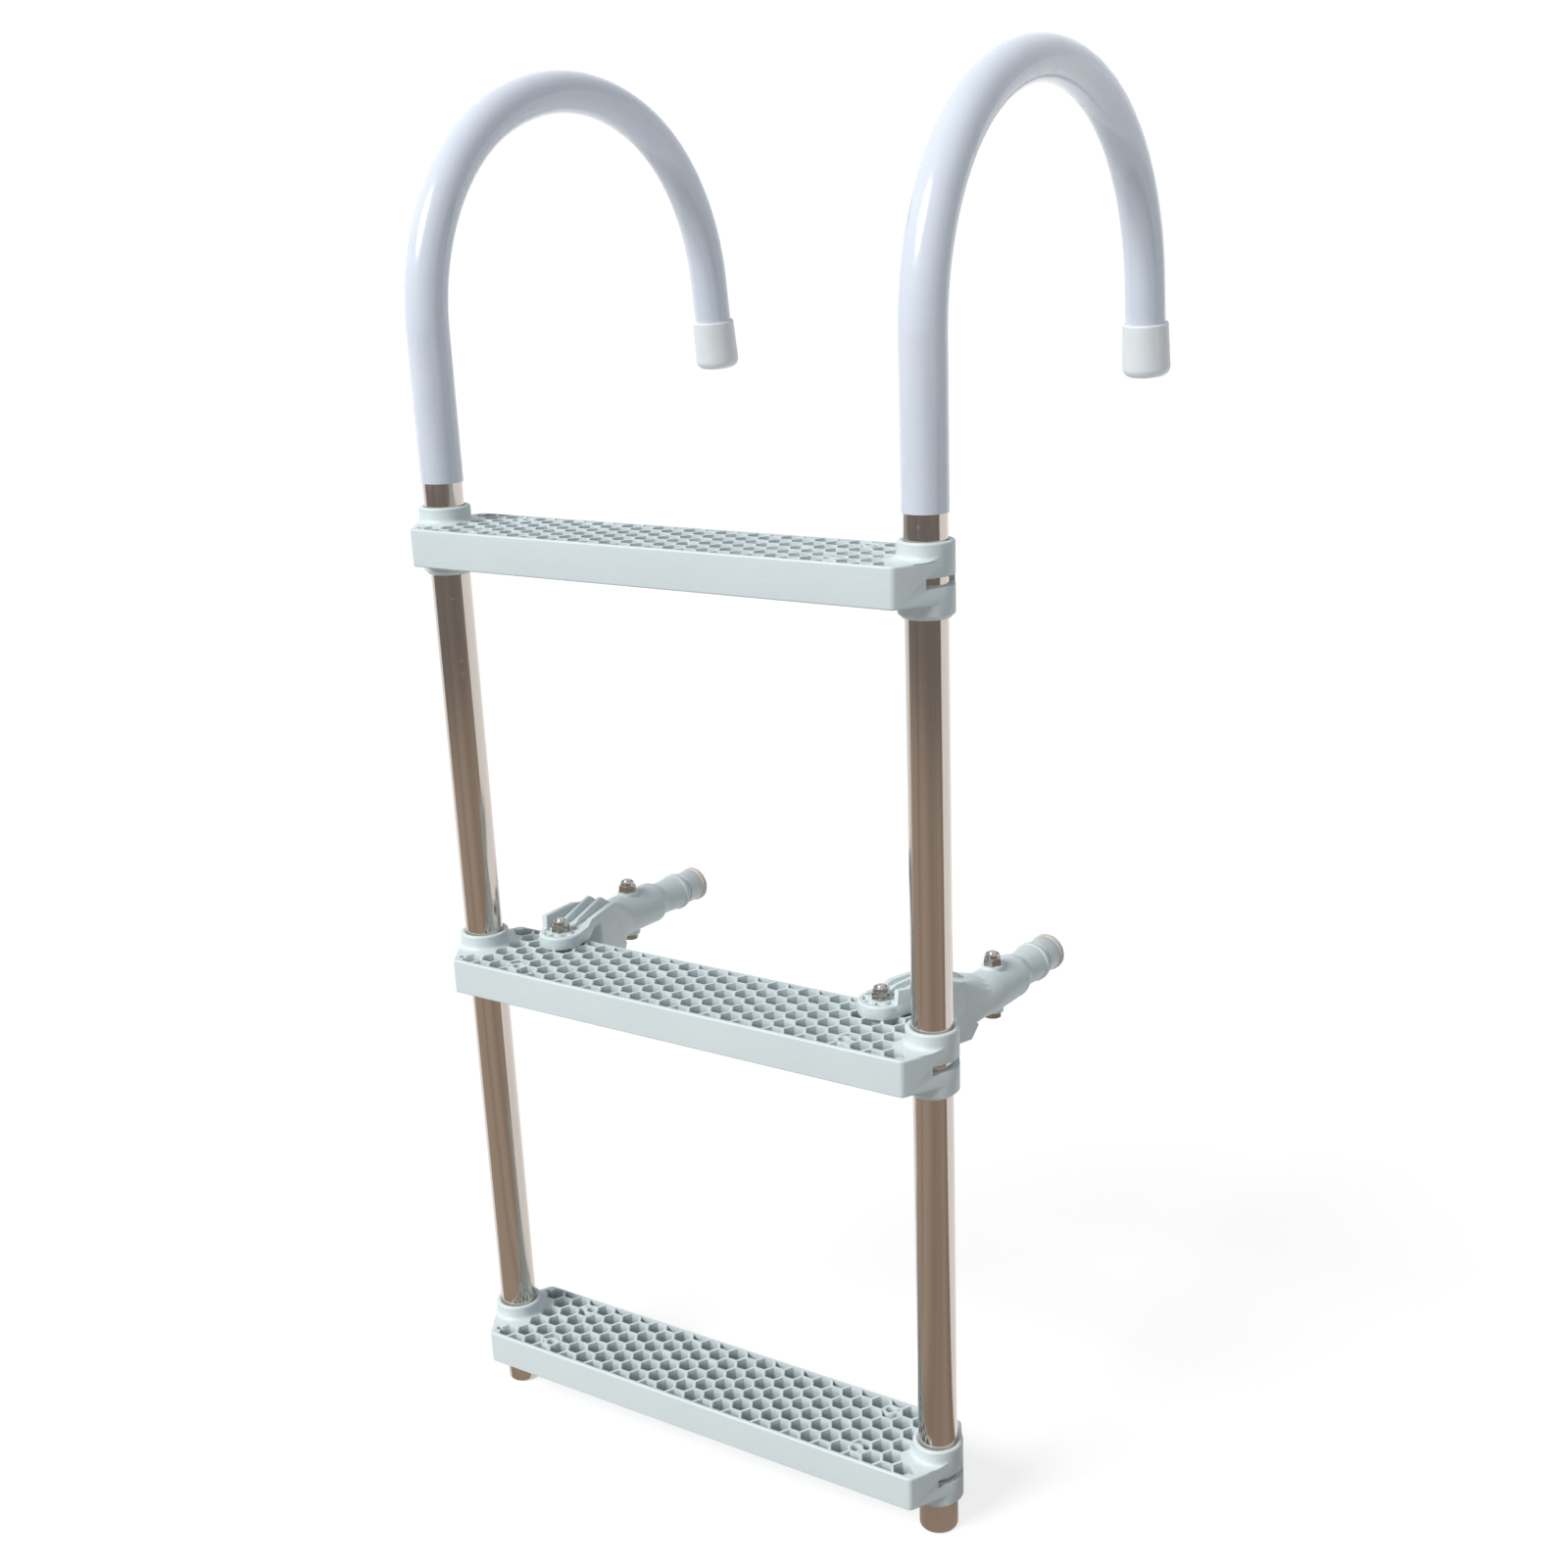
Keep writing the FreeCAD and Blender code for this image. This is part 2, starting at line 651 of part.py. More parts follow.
def arm_pad():
    """Cap pushed over the tube's end, with a domed face that bears on the hull."""
    clamp = bend_start + clamp_from_bend
    start = clamp + collar_out - pad_lap
    seat = clamp + collar_out
    end = clamp + pad_end
    bore = mouth_bore
    outer = bore + pad_wall
    half = math.sqrt(0.5)
    dome = (end - pad_dome * (1 - half), outer - pad_dome * (1 - half))
    return past_bend(along_arm([
        ((start, bore), (start, outer)),
        ((start, outer), (end - pad_dome, outer)),
        ((end - pad_dome, outer), dome, (end, outer - pad_dome)),
        ((end, outer - pad_dome), (end, 0)),
        ((end, 0), (seat, 0)),
        ((seat, 0), (seat, bore)),
        ((seat, bore), (start, bore)),
    ]))


def bolt(y, head_z, seat_z):
    """Hexagon bolt from below: head under head_z, shank up through a nut seated at seat_z."""
    tip = seat_z + nut_height + nut_collar_height + bolt_past_nut
    shank = cylinder(bolt_radius, head_z, tip, 0, y)
    head = hexagon(nut_flats, head_z - head_height, 0, y).extrude(V(0, 0, head_height))
    return shank.fuse(head).removeSplitter()


def lock_nut(y, seat_z):
    """Hexagon nut with the round collar that holds its locking ring."""
    body = hexagon(nut_flats, seat_z, 0, y).extrude(V(0, 0, nut_height))
    crown = seat_z + nut_height + nut_collar_height
    cap = cylinder(nut_collar_radius, seat_z + nut_height, crown, 0, y)
    return body.fuse(cap).cut(cylinder(bolt_radius, seat_z - overcut, crown + overcut, 0, y))


def place_arm(shape, side):
    """Turn a piece of the right arm outwards by its yaw, or mirror it for the left, on its boss."""
    yaw = right_arm_yaw if side > 0 else left_arm_yaw
    placed = shape.copy() if side > 0 else shape.mirror(V(0, 0, 0), V(1, 0, 0))
    placed.rotate(V(0, 0, 0), UP, -side * yaw)
    placed.translate(V(side * boss_x, rail_y + boss_y, step_tops[1]))
    return placed


def build_parts():
    """Every named piece with its solid in place."""
    parts = {}
    step = build_step()
    for name, top in zip(("top_step", "middle_step", "bottom_step"), step_tops):
        parts[name] = step.copy().translate(V(0, rail_y, top))
    clamp = bend_start + clamp_from_bend
    arm_pieces = {
        "standoff_arm": arm_moulding(),
        "standoff_tube": stepped_tube(),
        "standoff_pad": arm_pad(),
        "pivot_bolt": bolt(0, ear_bottom, ear_top),
        "pivot_nut": lock_nut(0, ear_top),
        "clamp_bolt": past_bend(bolt(clamp, clamp_under, clamp_seat)),
        "clamp_nut": past_bend(lock_nut(clamp, clamp_seat)),
    }
    for side, label in ((-1, "left"), (1, "right")):
        x = side * rail_half_spacing
        parts[label + "_rail"] = rail(x)
        parts[label + "_hook_sleeve"] = hook_sleeve(x)
        parts[label + "_hook_tip"] = hook_tip(x)
        for name, piece in arm_pieces.items():
            parts[label + "_" + name] = place_arm(piece, side)
    return parts


os.makedirs("parts", exist_ok=True)
for name, shape in build_parts().items():
    shape.exportStep("parts/" + name + ".step")
    print(name, "solids", len(shape.Solids), "valid", shape.isValid(), "volume", round(shape.Volume))
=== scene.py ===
# %% [markdown]
# # Dressing a hook-on boat ladder
# The ladder comes ready made as solids: two bent tubes with sleeved hooks, three moulded
# steps and two stand-off arms. This lesson gives each of them its finish, swaps the parts
# whose fine edges matter for softer copies, and sets up a plain studio round them.
# All lengths are in metres, because that is what the solids use.

import json
import math

import bpy
from mathutils import Matrix, Vector


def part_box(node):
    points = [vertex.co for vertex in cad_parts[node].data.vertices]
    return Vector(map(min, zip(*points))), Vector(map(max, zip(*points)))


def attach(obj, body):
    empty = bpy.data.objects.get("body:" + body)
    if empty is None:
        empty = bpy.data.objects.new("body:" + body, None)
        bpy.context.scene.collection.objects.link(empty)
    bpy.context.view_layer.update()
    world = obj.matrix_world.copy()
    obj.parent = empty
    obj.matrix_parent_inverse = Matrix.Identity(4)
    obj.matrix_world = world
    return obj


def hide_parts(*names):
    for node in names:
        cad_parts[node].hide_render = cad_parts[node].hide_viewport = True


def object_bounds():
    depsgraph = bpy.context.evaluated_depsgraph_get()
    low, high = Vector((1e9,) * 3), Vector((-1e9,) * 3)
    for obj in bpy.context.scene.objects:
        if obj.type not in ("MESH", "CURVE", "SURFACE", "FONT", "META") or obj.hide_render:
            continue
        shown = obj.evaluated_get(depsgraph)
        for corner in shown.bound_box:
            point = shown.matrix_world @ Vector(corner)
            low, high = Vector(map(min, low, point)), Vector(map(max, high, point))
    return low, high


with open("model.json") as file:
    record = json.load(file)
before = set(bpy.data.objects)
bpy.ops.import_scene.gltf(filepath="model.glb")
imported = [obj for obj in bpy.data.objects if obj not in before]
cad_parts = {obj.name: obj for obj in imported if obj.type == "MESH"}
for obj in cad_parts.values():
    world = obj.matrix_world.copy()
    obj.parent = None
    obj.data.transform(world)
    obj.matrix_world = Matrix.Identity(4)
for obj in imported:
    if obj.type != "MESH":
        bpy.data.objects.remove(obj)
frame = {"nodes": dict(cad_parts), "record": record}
cad_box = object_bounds()
MM = 0.001
BODY_OF = {node: body for body, nodes in frame["record"]["behaviour"]["bodies"].items() for node in nodes}

# %% [markdown]
# ## The camera
# The photograph was taken from the front right and a little above. The camera stands where
# a perspective fit of the steps and rails puts it. The lens and a small shift come from the
# same fit, so that the render frames the ladder as the photograph does.

# %% Camera
CAMERA_PLACE = Vector((0.6681, -1.0616, -0.0670))
CAMERA_FORWARD = Vector((-0.49204, 0.81151, -0.31521))
CAMERA_RIGHT = Vector((0.85942, 0.51055, -0.02715))
SENSOR_WIDTH = 36.0
LENS = 42.914
SHIFT_RIGHT = -0.0389
SHIFT_UP = 0.0305

camera_data = bpy.data.cameras.new("photo_camera")
camera = bpy.data.objects.new("photo_camera", camera_data)
bpy.context.scene.collection.objects.link(camera)
camera_up = CAMERA_RIGHT.cross(CAMERA_FORWARD)
turn = Matrix((CAMERA_RIGHT, camera_up, -CAMERA_FORWARD)).transposed()
camera.matrix_world = Matrix.Translation(CAMERA_PLACE) @ turn.to_4x4()
camera_data.sensor_width = SENSOR_WIDTH
camera_data.lens = LENS
camera_data.shift_x = SHIFT_RIGHT
camera_data.shift_y = SHIFT_UP
camera_data.clip_start = 0.01
bpy.context.scene.camera = camera
print("camera at", tuple(round(v, 3) for v in camera.location))

# %% [markdown]
# ## Shader sums
# A finish is built from patterns and sums on them. Wiring each Math node by hand hides the
# idea, so a small class stands for a number that flows through the shader: adding or
# multiplying two of them adds the Math node. Every other node comes from one method.

# %% Numbers that flow through a shader
class Flow:
    """A number in a shader, with the sums that a finish needs."""

    def __init__(self, finish, socket):
        self.finish = finish
        self.socket = socket

    def sum(self, operation, *terms):
        return self.finish.add("ShaderNodeMath", {"operation": operation}, dict(enumerate(terms)))

    def __add__(self, other):
        return self.sum("ADD", self, other)

    __radd__ = __add__

    def __sub__(self, other):
        return self.sum("SUBTRACT", self, other)

    def __rsub__(self, other):
        return self.sum("SUBTRACT", other, self)

    def __mul__(self, other):
        return self.sum("MULTIPLY", self, other)

    __rmul__ = __mul__

    def size(self):
        return self.sum("ABSOLUTE", self)

    def wrap(self, length):
        return self.sum("FLOORED_MODULO", self, length)

    def smooth(self, low, high):
        """0 below one value, 1 above another, and a soft change between."""
        settings = {"interpolation_type": "SMOOTHSTEP"}
        return self.finish.add("ShaderNodeMapRange", settings, {0: self, 1: low, 2: high})


# %% One material at a time
class Finish:
    """A material, with one method that adds any node and a few patterns made with it."""

    def __init__(self, name):
        self.material = bpy.data.materials.new(name)
        self.material.use_nodes = True
        self.tree = self.material.node_tree
        self.shader = self.tree.nodes["Principled BSDF"]
        self.place = self.add("ShaderNodeTexCoord", {}, {}, output="Object")

    def add(self, kind, settings, sockets, output=0):
        node = self.tree.nodes.new(kind)
        for setting, value in settings.items():
            setattr(node, setting, value)
        for key, value in sockets.items():
            self.feed(node.inputs[key], value)
        return Flow(self, node.outputs[output])

    def feed(self, socket, value):
        if isinstance(value, Flow):
            self.tree.links.new(value.socket, socket)
        else:
            socket.default_value = value

    def axis(self, letter):
        return self.add("ShaderNodeSeparateXYZ", {}, {"Vector": self.place}, output=letter)

    def stretched(self, x, y, z):
        """Coordinates whose patterns have a size of their own along each axis, in cells per metre."""
        return self.add("ShaderNodeMapping", {}, {"Vector": self.place, "Scale": (x, y, z)})

    def noise(self, cells, detail=2.0, roughness=0.5, place=None):
        sockets = {"Vector": place or self.place, "Scale": cells, "Detail": detail, "Roughness": roughness}
        return self.add("ShaderNodeTexNoise", {}, sockets)

    def colour(self, factor, low, high):
        settings = {"data_type": "RGBA"}
        sockets = {0: factor, 6: colour_of(low), 7: colour_of(high)}
        return self.add("ShaderNodeMix", settings, sockets, output=2)

    def relief(self, height, depth, strength=1.0):
        """Bumps of a real depth, from a pattern between 0 and 1."""
        bump = self.add("ShaderNodeBump", {}, {"Strength": strength, "Distance": depth, "Height": height})
        self.feed(self.shader.inputs["Normal"], bump)

    def set(self, **values):
        for name, value in values.items():
            socket = self.shader.inputs[name.replace("_", " ")]
            is_colour = isinstance(value, tuple) and socket.type == "RGBA"
            self.feed(socket, (*value, 1.0) if is_colour else value)
        return self


def colour_of(value):
    return (*value, 1.0) if isinstance(value, tuple) else value


print("shader helpers ready")

# %% [markdown]
# ## Step plastic
# Steps and arms are one pale blue-grey nylon with a fine eroded grain from the mould. Its
# colour drifts a little, and feet leave faint scuffs on the deck. Down in the cells shade is
# painted in: the walls are given a greyer colour where little light gets in. The three decks
# are one pitch apart, so the depth below a deck is the height wrapped by that pitch.

# %% Step plastic
COLLAR_RISE = 10.0 * MM
STEP_HEIGHT = 24.0 * MM
RAIL_PLACE = (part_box("top_step")[0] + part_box("top_step")[1]) / 2
DECK_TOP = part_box("top_step")[1].z - COLLAR_RISE
STEP_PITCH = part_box("top_step")[1].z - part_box("middle_step")[1].z
CELLS_HALF_LENGTH = 174.2 * MM
CELLS_HALF_DEPTH = 34.2 * MM


def cell_shade_mask(finish):
    """Where shade is painted: 1 on the walls of the cells, 0 on the outside of a step and on the arms."""
    depth = (DECK_TOP - finish.axis("Z")).wrap(STEP_PITCH)
    across = (finish.axis("Y") - RAIL_PLACE.y).size()
    along = finish.axis("X").size()
    below = depth.smooth(0.3 * MM, 5 * MM) * (1 - depth.smooth(STEP_HEIGHT, STEP_HEIGHT + MM))
    inside = 1 - across.smooth(CELLS_HALF_DEPTH, CELLS_HALF_DEPTH + 0.5 * MM)
    return below * inside * (1 - along.smooth(CELLS_HALF_LENGTH, CELLS_HALF_LENGTH + 0.3 * MM))


def step_plastic():
    finish = Finish("moulded_nylon")
    clouds = finish.noise(16.0, detail=3.0)
    specks = finish.noise(620.0, detail=3.0, roughness=0.6)
    scuffs = finish.noise(1.0, detail=4.0, place=finish.stretched(55.0, 420.0, 420.0)).smooth(0.60, 0.74)
    tone = finish.colour(clouds, (0.69, 0.78, 0.79), (0.77, 0.845, 0.845))
    worn = finish.colour(scuffs * 0.35, tone, (0.86, 0.90, 0.89))
    grainy = finish.colour((specks - 0.5).smooth(0.0, 0.35) * 0.18, worn, (0.62, 0.70, 0.72))
    # Painted shade: the cell walls take a greyer colour, standing in for the little light that reaches them.
    shaded = finish.colour(cell_shade_mask(finish) * (0.75 + clouds * 0.4), grainy, (0.50, 0.585, 0.60))
    grain = finish.noise(1500.0, detail=2.0) * 0.7 + finish.noise(240.0) * 0.3
    finish.set(Base_Color=shaded, Roughness=0.36 + specks * 0.14 + scuffs * 0.1, Subsurface_Weight=0.06)
    finish.set(Subsurface_Radius=(0.006, 0.007, 0.008), Subsurface_Scale=0.3, IOR=1.5)
    finish.relief(grain, 0.00006)
    return finish.material


nylon = step_plastic()
print("made", nylon.name, "deck at", round(DECK_TOP, 4), "pitch", round(STEP_PITCH, 4))

# %% [markdown]
# ## Tube metal
# The rails are drawn aluminium tube, polished and warm in tint. A polished tube has hardly a
# colour of its own: it shows a squeezed picture of the room, so most of its look comes from
# the floor and the card below. The finish adds what is on the metal itself, the fine lines
# of drawing along Z, a slow drift of tint, and dull dust that softens the reflection.

# %% Tube metal
def tube_metal():
    finish = Finish("polished_tube")
    lines = finish.noise(1.0, detail=4.0, roughness=0.65, place=finish.stretched(900.0, 900.0, 7.0))
    drift = finish.noise(1.0, detail=2.0, place=finish.stretched(60.0, 60.0, 5.0))
    dust = finish.noise(260.0, detail=4.0).smooth(0.64, 0.78)
    tone = finish.colour(drift, (0.50, 0.435, 0.38), (0.58, 0.52, 0.465))
    lined = finish.colour(lines * 0.35, tone, (0.66, 0.61, 0.57))
    finish.set(Base_Color=lined, Metallic=1.0, Roughness=0.09 + lines * 0.10 + dust * 0.14)
    finish.set(Coat_Weight=0.6 - dust * 0.3, Coat_Roughness=0.05, Coat_IOR=1.6)
    finish.relief(lines, 0.000015)
    return finish.material


tube = tube_metal()
print("made", tube.name)

# %% [markdown]
# ## Sleeve and tips
# The hooks wear a glossy vinyl sleeve that keeps the boat's edge from being scratched. It
# was drawn on warm, so it has slow waves. The tips and the pads are softer, milky vinyl
# that lets a little light in, which a small amount of subsurface scattering gives.

# %% Sleeve and tips
def sleeve_vinyl():
    finish = Finish("sleeve_vinyl")
    clouds = finish.noise(24.0, detail=2.0)
    smears = finish.noise(90.0, detail=4.0).smooth(0.52, 0.75)
    tone = finish.colour(clouds, (0.71, 0.775, 0.875), (0.79, 0.84, 0.925))
    waves = finish.noise(45.0) * 0.8 + finish.noise(520.0) * 0.2
    finish.set(Base_Color=tone, Roughness=0.16 + smears * 0.12, IOR=1.5)
    finish.set(Subsurface_Weight=0.1, Subsurface_Radius=(0.004, 0.0045, 0.005), Subsurface_Scale=0.3)
    finish.set(Coat_Weight=0.55 - smears * 0.25, Coat_Roughness=0.04)
    finish.relief(waves, 0.00012)
    return finish.material


def milky_vinyl(name, pale, deep, softness):
    finish = Finish(name)
    clouds = finish.noise(85.0, detail=3.0)
    grain = finish.noise(950.0, detail=2.0)
    finish.set(Base_Color=finish.colour(clouds, deep, pale), Roughness=0.3 + grain * 0.16, IOR=1.46)
    finish.set(Subsurface_Weight=softness, Subsurface_Radius=(0.006, 0.0058, 0.005), Subsurface_Scale=0.4)
    finish.relief(grain * 0.6 + clouds * 0.4, 0.00007)
    return finish.material


vinyl = sleeve_vinyl()
tip_vinyl = milky_vinyl("tip_vinyl", (0.86, 0.895, 0.91), (0.80, 0.835, 0.85), 0.3)
cap_vinyl = milky_vinyl("cap_vinyl", (0.80, 0.76, 0.67), (0.62, 0.57, 0.48), 0.3)
print("made", vinyl.name, tip_vinyl.name, cap_vinyl.name)

# %% [markdown]
# ## Stainless steel
# The bolts and lock nuts are polished stainless. Handling leaves hair-fine scratches and
# dull spots, which are noise in the roughness and the bump and not in the shape.

# %% Stainless steel and nylon ring
def stainless_steel():
    finish = Finish("polished_stainless")
    scratches = finish.noise(1.0, detail=4.0, roughness=0.7, place=finish.stretched(2600.0, 700.0, 2600.0))
    spots = finish.noise(420.0, detail=3.0).smooth(0.56, 0.7)
    tone = finish.colour(spots, (0.40, 0.375, 0.335), (0.25, 0.23, 0.20))
    finish.set(Base_Color=tone, Metallic=1.0, Roughness=0.07 + scratches * 0.14 + spots * 0.14)
    finish.relief(scratches, 0.000015)
    return finish.material


steel = stainless_steel()
ring_nylon = milky_vinyl("locking_ring", (0.24, 0.24, 0.23), (0.16, 0.16, 0.155), 0.05)
print("made", steel.name, ring_nylon.name)

# %% [markdown]
# ## Dress the solids that stay
# Rails, sleeves, hook tips and sliding tubes already have the right form, so they only get
# their finish. Their material slot is given the new material; the mesh is left alone.

# %% Finishes for the solids that stay
FINISH_OF = {"rail": tube, "hook_sleeve": vinyl, "hook_tip": tip_vinyl, "standoff_tube": nylon}
for side in ("left", "right"):
    for part, material in FINISH_OF.items():
        frame["nodes"][side + "_" + part].material_slots[0].material = material
print("dressed", 2 * len(FINISH_OF), "solids")

# %% [markdown]
# ## Softer copies of the mouldings
# A moulding has no sharp edge: each one carries a small radius that catches the light. The
# solids' edges are sharp, so each step and arm is shown by a copy. Its loose triangles are
# merged, flat areas are made whole again, and a narrow bevel rounds every edge.

# %% Softened copies
def own_copy(node, name):
    """A free copy of a solid's mesh with its triangles joined and its flat areas whole."""
    piece = bpy.data.objects.new(name, frame["nodes"][node].data.copy())
    bpy.context.scene.collection.objects.link(piece)
    bpy.ops.object.select_all(action="DESELECT")
    bpy.context.view_layer.objects.active = piece
    piece.select_set(True)
    bpy.ops.object.mode_set(mode="EDIT")
    bpy.ops.mesh.select_all(action="SELECT")
    bpy.ops.mesh.remove_doubles(threshold=2e-6)
    bpy.ops.mesh.dissolve_limited(angle_limit=math.radians(0.5))
    bpy.ops.object.mode_set(mode="OBJECT")
    return piece


def soften(piece, width, sharper_than):
    """Round the edges that turn by more than an angle."""
    bevel = piece.modifiers.new("soft_edges", "BEVEL")
    bevel.width = width
    bevel.segments = 2
    bevel.limit_method = "ANGLE"
    bevel.angle_limit = math.radians(sharper_than)
    bpy.context.view_layer.objects.active = piece
    bpy.ops.object.modifier_apply(modifier=bevel.name)
    bpy.ops.object.shade_smooth_by_angle(angle=math.radians(32))


def dress(piece, node, material):
    """Let a piece stand for a solid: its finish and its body."""
    piece.data.materials.clear()
    piece.data.materials.append(material)
    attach(piece, BODY_OF[node])
    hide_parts(node)


ARM_EDGE = 0.7 * MM
for side in ("left", "right"):
    node = side + "_standoff_arm"
    piece = own_copy(node, side + "_arm_soft")
    soften(piece, ARM_EDGE, 28)
    dress(piece, node, nylon)
    print(node, "faces", len(piece.data.polygons))

# %% [markdown]
# ## Turned forms
# Nuts, bolts and pads are round, so they can be made as a lathe would: start with a disc,
# then extrude it ring by ring and scale each new ring to its radius. Going inwards and back
# down again makes a bore. One helper does this for every turned form in the lesson.

# %% A lathe made of extrusions
def turned(name, profile, sides=48):
    """Closed round form on the Z axis from (radius, height) rings, the first and last filled."""
    bpy.ops.object.select_all(action="DESELECT")
    radius, height = profile[0]
    bpy.ops.mesh.primitive_circle_add(vertices=sides, radius=radius, fill_type="NGON")
    piece = bpy.context.object
    piece.name = name
    bpy.ops.object.mode_set(mode="EDIT")
    bpy.ops.mesh.select_all(action="SELECT")
    bpy.ops.transform.translate(value=(0, 0, height))
    for next_radius, next_height in profile[1:]:
        rise = (0, 0, next_height - height)
        bpy.ops.mesh.extrude_region_move(TRANSFORM_OT_translate={"value": rise})
        factor = next_radius / radius
        bpy.ops.transform.resize(value=(factor, factor, 1), center_override=(0, 0, next_height))
        radius, height = next_radius, next_height
    bpy.ops.mesh.select_all(action="SELECT")
    bpy.ops.mesh.normals_make_consistent(inside=False)
    bpy.ops.object.mode_set(mode="OBJECT")
    return piece


def combine(piece, tool, operation):
    """Cut with, keep the overlap of, or join a second form, which is used up."""
    change = piece.modifiers.new("combine", "BOOLEAN")
    change.operation = operation
    change.object = tool
    change.solver = "EXACT"
    bpy.context.view_layer.objects.active = piece
    bpy.ops.object.modifier_apply(modifier=change.name)
    bpy.data.objects.remove(tool)
    return piece


def put(piece, place, towards=Vector((0, 0, 1)), turn=0.0):
    """Stand a form that was made on the Z axis in its place, and leave the object unturned."""
    lean = towards.to_track_quat("Z", "Y").to_matrix().to_4x4()
    piece.matrix_world = Matrix.Translation(place) @ lean @ Matrix.Rotation(turn, 4, "Z")
    bpy.ops.object.select_all(action="DESELECT")
    bpy.context.view_layer.objects.active = piece
    piece.select_set(True)
    bpy.ops.object.transform_apply(location=True, rotation=True, scale=True)
    return piece


def hexagon_bar(name, flats, low, high, low_chamfer, high_chamfer):
    """Hexagon with turned chamfers, as a nut or bolt head has them."""
    corner = flats / math.sqrt(3)
    bpy.ops.object.select_all(action="DESELECT")
    bpy.ops.mesh.primitive_cylinder_add(vertices=6, radius=corner, depth=high - low)
    bar = put(bpy.context.object, Vector((0, 0, (low + high) / 2)))
    bar.name = name
    inner = flats / 2 - 0.1 * MM
    rings = [(inner, low), (corner, low + low_chamfer), (corner, high - high_chamfer), (inner, high)]
    return combine(bar, turned("chamfer_tool", rings), "INTERSECT")


print("turning helpers ready")

# %% [markdown]
# ## Steps
# Each collar stands on the deck with a small round foot. The solid's foot is wider than the
# real one, so a turned ring with a rounded inner corner trims it, the way a form tool would.
# Then the narrow bevel goes on, so that the trimmed edges are softened with the rest.

# %% Steps with trimmed feet
STEP_EDGE = 0.35 * MM
COLLAR_OUTER = 16.47 * MM
RAIL_HALF_SPACING = 176.2 * MM
FOOT_ROUND = 3.0 * MM
TRIM_REACH = 9.5 * MM


def foot_trimmer(name):
    """Ring that takes the foot off round a collar and leaves a small round one."""
    above = COLLAR_RISE + MM
    low = 0.03 * MM
    rings = [(COLLAR_OUTER, above), (COLLAR_OUTER + TRIM_REACH, above), (COLLAR_OUTER + TRIM_REACH, low)]
    for step in range(5):
        bend = math.radians(22.5 * step)
        rings.append((COLLAR_OUTER + FOOT_ROUND * (1 - math.sin(bend)), low + FOOT_ROUND * (1 - math.cos(bend))))
    rings.append((COLLAR_OUTER, above - 0.01 * MM))
    return turned(name, rings, 72)


for level in ("top", "middle", "bottom"):
    node = level + "_step"
    piece = own_copy(node, level + "_step_soft")
    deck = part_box(node)[1].z - COLLAR_RISE
    for x in (-RAIL_HALF_SPACING, RAIL_HALF_SPACING):
        combine(piece, put(foot_trimmer("foot_tool"), Vector((x, RAIL_PLACE.y, deck))), "DIFFERENCE")
    bpy.ops.object.select_all(action="DESELECT")
    piece.select_set(True)
    soften(piece, STEP_EDGE, 30)
    dress(piece, node, nylon)
    print(node, "faces", len(piece.data.polygons))

# %% [markdown]
# ## Lock nuts and bolts
# Each arm swings on a bolt and is clamped by a second one, both with a lock nut. A lock nut
# is a chamfered hexagon with a rolled collar that holds a nylon ring, and the bolt's end
# stands a little proud of it. The hexagon is cut from a bar and the rest is turned.

# %% Lock nuts and bolts
NUT_FLATS = 11.1 * MM
HEXAGON_HEIGHT = 5.2 * MM
COLLAR_RADIUS = 4.9 * MM
THREAD_RADIUS = 3.1 * MM
THREAD_PITCH = 1.27 * MM
CHAMFER = 0.6 * MM
EASED = 0.15 * MM


def lock_nut(name, low, high):
    """Hexagon and rolled collar, with an open recess for the ring."""
    shoulder = low + HEXAGON_HEIGHT
    nut = hexagon_bar(name, NUT_FLATS, low, shoulder, EASED, CHAMFER)
    roll = 0.9 * MM
    lip = COLLAR_RADIUS - roll
    rings = [(COLLAR_RADIUS, shoulder - 0.5 * MM), (COLLAR_RADIUS, high - roll)]
    for step in (1, 2, 3):
        bend = math.radians(30 * step)
        rings.append((lip + roll * math.cos(bend), high - roll + roll * math.sin(bend)))
    rings += [(lip - 0.25 * MM, high - 0.2 * MM), (lip - 0.35 * MM, high - 0.9 * MM)]
    nut = combine(nut, turned(name + "_collar", rings), "UNION")
    return combine(nut, turned("bore_tool", [(THREAD_RADIUS, low - MM), (THREAD_RADIUS, high + MM)]), "DIFFERENCE")


def locking_ring(name, high):
    """Nylon ring that shows inside the collar."""
    rings = [(4.0 * MM, high - 1.4 * MM), (3.95 * MM, high - 0.55 * MM), (3.3 * MM, high - 0.45 * MM)]
    return turned(name, rings)


def bolt(name, low, high, head_height):
    """Hexagon head, plain shank and a few grooves of thread at the end."""
    shank_start = low + head_height - 0.2 * MM
    rings = [(THREAD_RADIUS, shank_start), (THREAD_RADIUS, high - 3 * THREAD_PITCH)]
    for crest in (2.5, 2, 1.5, 1, 0.5):
        groove = 0.35 * MM if crest % 1 else 0
        rings.append((THREAD_RADIUS - groove, high - crest * THREAD_PITCH))
    rings.append((THREAD_RADIUS - 0.7 * MM, high))
    head = hexagon_bar(name, NUT_FLATS, low, low + head_height, CHAMFER, EASED)
    return combine(head, turned(name + "_shank", rings), "UNION")


